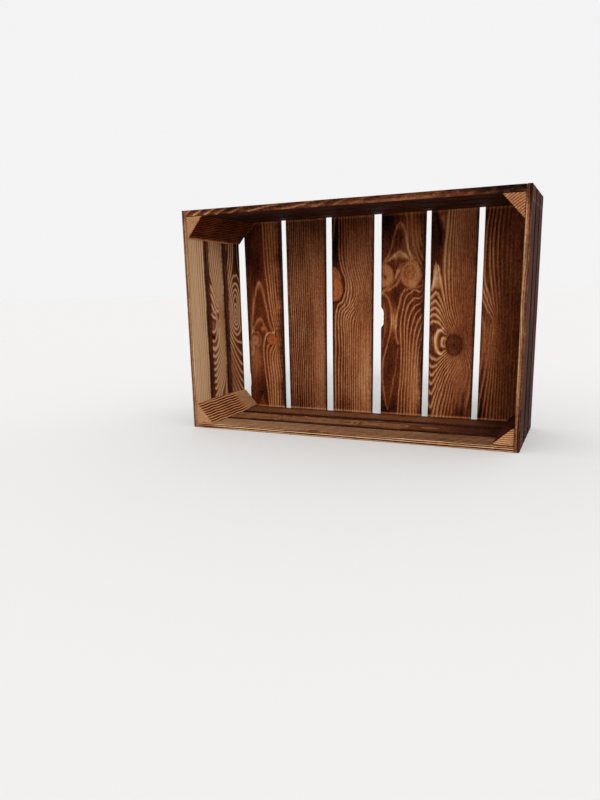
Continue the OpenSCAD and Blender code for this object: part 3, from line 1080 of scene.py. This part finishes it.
def post_skin(loops, legs_at):
    """Points and faces of a closed skin round the loops: the body, then its two flat ends."""
    around = len(loops[0][1])
    rows = list(loops)
    hubs = []
    chains = []
    for first_row, (place, outer) in ((0, loops[0]), (len(loops) - 1, loops[-1])):
        middle = legs_at(place) / 3
        hubs.append((place, middle[None]))
        chains.append([first_row, *range(len(rows), len(rows) + CAP_LOOPS - 1)])
        shares = np.linspace(1, 0, CAP_LOOPS + 1)[1:-1]
        rows += [(place, mix(middle, outer, share)) for share in shares]
    points = np.concatenate([
        np.column_stack([flat[:, 0], np.full(len(flat), place), flat[:, 1]])
        for place, flat in rows + hubs
    ])
    front, back = chains
    front_hub = len(points) - 2
    back_hub = len(points) - 1
    bands = [(row, row + 1) for row in range(len(loops) - 1)]
    bands += list(zip(front[1:], front)) + list(zip(back, back[1:]))
    faces = []
    for index in range(around):
        after = (index + 1) % around
        for first, second in bands:
            faces.append((first * around + index, first * around + after,
                          second * around + after, second * around + index))
        faces.append((front[-1] * around + after, front[-1] * around + index, front_hub))
        faces.append((back[-1] * around + index, back[-1] * around + after, back_hub))
    return points, faces


def post_look(spec, points, length, legs_at, seed):
    """Tone, contrast and redness at each point of a post."""
    leg_x, along, leg_z = points.T
    at_end = bell(along / END_DEPTH)
    wane = spec["wane"] * smooth_step(along / length, *WANE_START)
    tone, contrast, redness = [mix(*pair, at_end) for pair in zip(spec["look"], spec["end_look"])]
    tone = mix(tone + uneven("post tone", along, seed), WANE_TONE, wane * WANE_COVER)
    tip_width = TIP_WIDTH + uneven("post tips", along, seed)
    for leg, light in enumerate(spec["tip_light"]):
        tip = np.zeros((2, len(points)))
        tip[leg] = legs_at(along)[leg]
        from_tip = np.hypot(leg_x - tip[0], leg_z - tip[1]) / tip_width
        tone += light * bell(from_tip) * (1 - at_end)
    return tone, contrast * (1 - WANE_CONTRAST_LOSS * wane), redness * (1 - WANE_REDNESS_LOSS * wane)


def make_post(node, spec, seed):
    """One corner post, in place of its CAD node. It is as much thinner at the rim as the CAD's."""
    low, high = cad_box_of(node)
    legs = (high - low)[[0, 2]]
    length = high[1] - low[1]
    corners = cad_corners(node)
    rim_share = np.ptp(corners[corners[:, 1] < corners[:, 1].mean(), 0]) / legs[0]

    def legs_at(along):
        return np.multiply.outer(legs, mix(rim_share, 1, along / length))

    points, faces = post_skin(post_loops(legs_at, length, spec["tips"], seed), legs_at)
    side, level = spec["side"], spec["level"]
    corner = np.array([high[0] if side > 0 else low[0], low[1], high[2] if level > 0 else low[2]])
    signs = np.array([-side, 1, -level])
    if signs.prod() > 0:
        faces = [face[::-1] for face in faces]
    piece = mesh_piece("wood_" + node, (corner + points * signs) * MM, faces)

    along = points[:, 1]
    reach = points[:, [0, 2]] - spec["pith"] - uneven("post pith", along, seed)[:, None]
    distance = np.hypot(*reach.T)
    rings = distance / spec["ring_gap"] + uneven("post rings", along, seed)
    slope = np.column_stack([reach[:, 0], np.zeros_like(along), reach[:, 1]])
    slope /= (distance * spec["ring_gap"])[:, None]
    look = post_look(spec, points, length, legs_at, seed)
    store_wood(piece, point_normals(piece) * signs, points, rings, slope, spec["line"], look, seed)
    return piece


# ---------------------------------------------------------------------------------------------
# Nails
# ---------------------------------------------------------------------------------------------

# Distance from the outer tip of the head, and radius, of each ring of a nail, in millimetres
NAIL_PROFILE = [(0.12, 0.9), (0.0, 1.7), (0.06, 2.05), (0.3, 2.28), (0.6, 2.2), (0.85, 1.5), (1.1, 1.04),
                (2.2, 0.98), (2.5, 0.9), (2.8, 0.98), (4.0, 0.98), (24.5, 0.98), (27.0, 0.62)]
NAIL_SIDES = 20
NAIL_DISH = 0.15
NAIL_REACH = 28.8
HEAD_DEPTH = 0.05
HEAD_SPREAD = 5
NAILS_OUTWARD = {
    "left_end_nails": (-1, 0, 0),
    "right_end_nails": (1, 0, 0),
    "top_side_nails": (0, 0, 1),
    "bottom_side_nails": (0, 0, -1),
    "floor_nails": (0, 1, 0),
}


def nail_places(node, outward):
    """The middles of the nail heads of a CAD node, on its outer face, in millimetres."""
    corners = cad_corners(node)
    height = corners @ outward
    groups = []
    for spot in corners[height > height.max() - HEAD_DEPTH]:
        for group in groups:
            if np.linalg.norm(group[0] - spot) < HEAD_SPREAD:
                group.append(spot)
                break
        else:
            groups.append([spot])
    return [(np.min(group, axis=0) + np.max(group, axis=0)) / 2 for group in groups]


def make_nails(node, outward):
    """All nails of one wall, in place of their CAD node. Each nail stands where its CAD solid does."""
    turn = np.array(Vector(outward).to_track_quat("Z", "Y").to_matrix())
    angles = 2 * math.pi * np.arange(NAIL_SIDES) / NAIL_SIDES
    nail = [(0, 0, -NAIL_DISH)]
    for depth, radius in NAIL_PROFILE:
        nail += [(radius * math.cos(angle), radius * math.sin(angle), -depth) for angle in angles]
    nail = np.array(nail + [(0, 0, -NAIL_REACH)]) @ turn.T
    places = nail_places(node, outward)
    faces = []
    for first in range(0, len(places) * len(nail), len(nail)):
        last = first + len(nail) - 1
        for side in range(NAIL_SIDES):
            here = first + 1 + side
            after = first + 1 + (side + 1) % NAIL_SIDES
            faces.append((first, here, after))
            for ring in range(len(NAIL_PROFILE) - 1):
                upper = ring * NAIL_SIDES
                lower = upper + NAIL_SIDES
                faces.append((upper + here, lower + here, lower + after, upper + after))
            faces.append((lower + here, last, lower + after))
    points = np.concatenate([place + nail for place in places])
    return mesh_piece("steel_" + node, points * MM, faces)


# ---------------------------------------------------------------------------------------------
# Materials
# ---------------------------------------------------------------------------------------------

# Tone, and the colour that wood of that tone has on a screen
WOOD_COLOURS = [
    (0.00, (6, 3, 3)),
    (0.07, (26, 11, 7)),
    (0.16, (62, 27, 15)),
    (0.24, (91, 45, 24)),
    (0.30, (112, 62, 35)),
    (0.40, (140, 88, 56)),
    (0.46, (157, 105, 70)),
    (0.53, (170, 128, 90)),
    (0.61, (188, 148, 109)),
    (0.75, (212, 180, 142)),
]
# The same for nail steel, from its first patches to its last: grey, worn, rusty
STEEL_COLOURS = [(0.35, (62, 60, 62)), (0.55, (84, 80, 78)), (0.70, (96, 66, 48))]
# Width of the patches across the grain and along it in millimetres, detail and roughness of a noise
FIBRE = (1.3, 45, 5, 0.65)
GRIT = (2.2, 4.5, 4, 0.75)
CLOUD = (22, 80, 3, 0.55)
# How much each noise moves the rings, and how much it changes the tone
CLOUD_SHIFT = 0.5
FIBRE_SHIFT = 0.2
FIBRE_TONE = 0.42
GRIT_TONE = 0.46
CLOUD_TONE = 0.14
# What one unit of redness takes away from red, green and blue light
REDDENING = (0, -0.38, -0.64)
LINE_STEEPNESS = 1.7
LINE_MEAN = 0.35
WOOD_ROUGHNESS = 0.7
FIBRE_ROUGHNESS = 0.3
RING_HEIGHT = 0.6
FIBRE_HEIGHT = 1.2
STEEL_ROUGHNESS = 0.25
PATCH_ROUGHNESS = 0.4
# Strength and depth of the bumps
WOOD_BUMP = (0.5, 0.3 * MM)
STEEL_BUMP = (0.3, 0.1 * MM)


def add(tree, kind, links=(), **settings):
    """A new node with these settings and with these inputs linked or filled."""
    made = tree.nodes.new("ShaderNode" + kind)
    for name, value in settings.items():
        setattr(made, name, value)
    for socket, value in dict(links).items():
        if isinstance(value, bpy.types.NodeSocket):
            tree.links.new(value, made.inputs[socket])
        else:
            made.inputs[socket].default_value = value
    return made


def calc(tree, operation, *values):
    """The result of one Math node."""
    return add(tree, "Math", dict(enumerate(values)), operation=operation).outputs[0]


def calc_vector(tree, operation, *values):
    """The result of one Vector Math node."""
    return add(tree, "VectorMath", dict(enumerate(values)), operation=operation).outputs[0]


def add_up(tree, start, *parts):
    """Start plus each part times its weight."""
    for part, weight in parts:
        start = calc(tree, "MULTIPLY_ADD", part, weight, start)
    return start


def ramp(tree, factor, stops):
    """A colour ramp through the stops, each a place and a screen colour."""
    made = add(tree, "ValToRGB", {"Fac": factor})
    elements = made.color_ramp.elements
    while len(elements) < len(stops):
        elements.new(0.5)
    for element, (place, _) in zip(elements, stops):
        element.position = place
    for element, (_, colour) in zip(elements, stops):
        element.color = (*linear(*colour), 1)
    return made.outputs["Color"]


def noise(tree, place, scale, detail, roughness):
    """Patchy noise round 0.5."""
    inputs = {"Vector": place, "Scale": scale, "Detail": detail, "Roughness": roughness}
    return add(tree, "TexNoise", inputs).outputs[0]


def stretched_noise(tree, grain, across, along, detail, roughness):
    """Noise round 0, with patches this many millimetres wide across the grain and long along it."""
    place = calc_vector(tree, "MULTIPLY", grain, (1 / across, 1 / along, 1 / across))
    return calc(tree, "SUBTRACT", noise(tree, place, 1.0, detail, roughness), 0.5)


def new_material(name):
    """A material, and its node tree with nothing in it."""
    material = bpy.data.materials.new(name)
    material.use_nodes = True
    material.node_tree.nodes.clear()
    return material, material.node_tree


def finish_surface(tree, height, bump_size, inputs):
    """Makes a node tree's surface from the shader's inputs and from a bump of this height."""
    strength, distance = bump_size
    bump = add(tree, "Bump", {"Height": height, "Strength": strength, "Distance": distance})
    shader = add(tree, "BsdfPrincipled", {**inputs, "Normal": bump.outputs[0]})
    add(tree, "OutputMaterial", {"Surface": shader.outputs[0]})


def scorched_wood(name):
    """Scorched, brushed softwood, as the values that store_wood keeps on the mesh describe it."""
    material, tree = new_material(name)

    def kept(attribute, output="Fac"):
        return add(tree, "Attribute", attribute_name=attribute).outputs[output]

    grain = kept("grain", "Vector")
    fibre, grit, cloud = (stretched_noise(tree, grain, *size) for size in (FIBRE, GRIT, CLOUD))
    phase = calc(tree, "FRACT", add_up(tree, kept("rings"), (cloud, CLOUD_SHIFT), (fibre, FIBRE_SHIFT)))
    sharpness = kept("sharpness")
    past = calc(tree, "MULTIPLY", phase, sharpness)
    ahead = calc(tree, "MULTIPLY", calc(tree, "SUBTRACT", 1.0, phase), sharpness)
    nearest = calc(tree, "MINIMUM", past, calc(tree, "MULTIPLY", ahead, LINE_STEEPNESS))
    ring = calc(tree, "EXPONENT", calc(tree, "MULTIPLY", calc(tree, "MULTIPLY", nearest, nearest), -1.0))
    ring_mark = calc(tree, "SUBTRACT", ring, LINE_MEAN)
    level = add_up(tree, kept("tone"), (ring_mark, kept("contrast")),
                   (fibre, FIBRE_TONE), (grit, GRIT_TONE), (cloud, CLOUD_TONE))
    tint = calc_vector(tree, "MULTIPLY_ADD", kept("redness"), REDDENING, (1, 1, 1))
    colour = calc_vector(tree, "MULTIPLY", ramp(tree, level, WOOD_COLOURS), tint)
    height = add_up(tree, calc(tree, "MULTIPLY", ring, RING_HEIGHT), (fibre, FIBRE_HEIGHT))
    finish_surface(tree, height, WOOD_BUMP, {
        "Base Color": colour,
        "Roughness": add_up(tree, WOOD_ROUGHNESS, (fibre, FIBRE_ROUGHNESS)),
        "Specular IOR Level": 0.03,
    })
    return material


def burnt_steel(name):
    """Blued, slightly rusty nail steel."""
    material, tree = new_material(name)
    place = add(tree, "TexCoord").outputs["Object"]
    patches = noise(tree, place, scale=900, detail=4, roughness=0.6)
    fine = noise(tree, place, scale=4200, detail=2, roughness=0.5)
    finish_surface(tree, fine, STEEL_BUMP, {
        "Base Color": ramp(tree, patches, STEEL_COLOURS),
        "Metallic": 0.85,
        "Roughness": add_up(tree, STEEL_ROUGHNESS, (patches, PATCH_ROUGHNESS)),
    })
    return material


# ---------------------------------------------------------------------------------------------
# Camera, floor and light
# ---------------------------------------------------------------------------------------------

CAMERA_PLACE = (0.3954, -1.1373, 0.2714)
CAMERA_YAW = math.radians(-24.892)
CAMERA_PITCH = math.radians(-12.573)
CAMERA_ROLL = math.radians(-1.449)
SENSOR = 36.0
FOCAL_LENGTH = 29.31
CAMERA_SHIFT = (0.0071, 0.0327)
NEAREST_SEEN = 0.05
FARTHEST_SEEN = 60
STAGE_RADIUS = 14.0
STAGE_SIDES = 64
STAGE_COLOUR = (0.95, 0.95, 0.95, 1)
ROOM_LEVEL = 0.9
CEILING_LEVEL = 0.65
CEILING_START = 0.4
CEILING_END = 0.75
SUN_FROM = (0.42, -1.0, 0.55)
SUN_SPREAD = math.radians(22)
SUN_STRENGTH = 1.5
SUN_COLOUR = (1, 0.97, 0.93)


def make_camera():
    """The camera, at the place and angle of the photograph's."""
    forward = Vector((
        math.sin(CAMERA_YAW) * math.cos(CAMERA_PITCH),
        math.cos(CAMERA_YAW) * math.cos(CAMERA_PITCH),
        math.sin(CAMERA_PITCH),
    ))
    level_right = Vector((math.cos(CAMERA_YAW), -math.sin(CAMERA_YAW), 0))
    level_up = level_right.cross(forward)
    right = math.cos(CAMERA_ROLL) * level_right + math.sin(CAMERA_ROLL) * level_up
    up = math.cos(CAMERA_ROLL) * level_up - math.sin(CAMERA_ROLL) * level_right
    data = bpy.data.cameras.new("camera")
    data.sensor_width = SENSOR
    data.lens = FOCAL_LENGTH
    data.shift_x, data.shift_y = CAMERA_SHIFT
    data.clip_start = NEAREST_SEEN
    data.clip_end = FARTHEST_SEEN
    camera = bpy.data.objects.new("camera", data)
    turn = Matrix((right, up, -forward)).transposed().to_4x4()
    camera.matrix_world = Matrix.Translation(CAMERA_PLACE) @ turn
    bpy.context.scene.collection.objects.link(camera)
    bpy.context.scene.camera = camera


def make_stage():
    """A wide pale floor under the crate, in a pale room."""
    angles = 2 * math.pi * np.arange(STAGE_SIDES) / STAGE_SIDES
    edge = STAGE_RADIUS * np.column_stack([np.cos(angles), np.sin(angles), np.zeros(STAGE_SIDES)])
    faces = [(0, 1 + side, 1 + (side + 1) % STAGE_SIDES) for side in range(STAGE_SIDES)]
    floor = mesh_piece("studio_floor", np.concatenate([np.zeros((1, 3)), edge]), faces)
    material, tree = new_material("studio_floor")
    shader = add(tree, "BsdfPrincipled", {
        "Base Color": STAGE_COLOUR, "Roughness": 0.85, "Specular IOR Level": 0.1,
    })
    add(tree, "OutputMaterial", {"Surface": shader.outputs[0]})
    floor.data.materials.append(material)


def make_light():
    """Soft light from the front right and above, in a pale room that is brightest near the horizon."""
    world = bpy.data.worlds.new("room")
    bpy.context.scene.world = world
    world.use_nodes = True
    tree = world.node_tree
    direction = add(tree, "TexCoord").outputs["Generated"]
    strength = add(tree, "MapRange", {
        "Value": add(tree, "SeparateXYZ", {0: direction}).outputs["Z"],
        "From Min": CEILING_START, "From Max": CEILING_END,
        "To Min": ROOM_LEVEL, "To Max": CEILING_LEVEL,
    }).outputs[0]
    tree.links.new(strength, tree.nodes["Background"].inputs["Strength"])
    tree.nodes["Background"].inputs["Color"].default_value = (1, 1, 1, 1)
    sun = bpy.data.lights.new("key", "SUN")
    sun.angle = SUN_SPREAD
    sun.energy = SUN_STRENGTH
    sun.color = SUN_COLOUR
    lamp = bpy.data.objects.new("key", sun)
    lamp.rotation_euler = (-Vector(SUN_FROM)).to_track_quat("-Z", "Y").to_euler()
    bpy.context.scene.collection.objects.link(lamp)


# ---------------------------------------------------------------------------------------------
# The crate
# ---------------------------------------------------------------------------------------------

def place_piece(piece, node, material):
    """Gives a finished piece its material, and lets it stand for its CAD node."""
    piece.data.materials.append(material)
    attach(piece, BODY)
    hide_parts(node)


make_camera()
make_stage()
make_light()
bpy.context.scene.view_settings.view_transform = "Standard"

for order, (node, spec) in enumerate(BOARDS.items()):
    place_piece(make_board(node, spec, seed=order + 1), node, scorched_wood(node + "_wood"))

for order, (node, spec) in enumerate(POSTS.items()):
    post = make_post(node, spec, seed=order + FIRST_POST_SEED)
    place_piece(post, node, scorched_wood(node + "_wood"))

for node, outward in NAILS_OUTWARD.items():
    place_piece(make_nails(node, outward), node, burnt_steel(node + "_steel"))
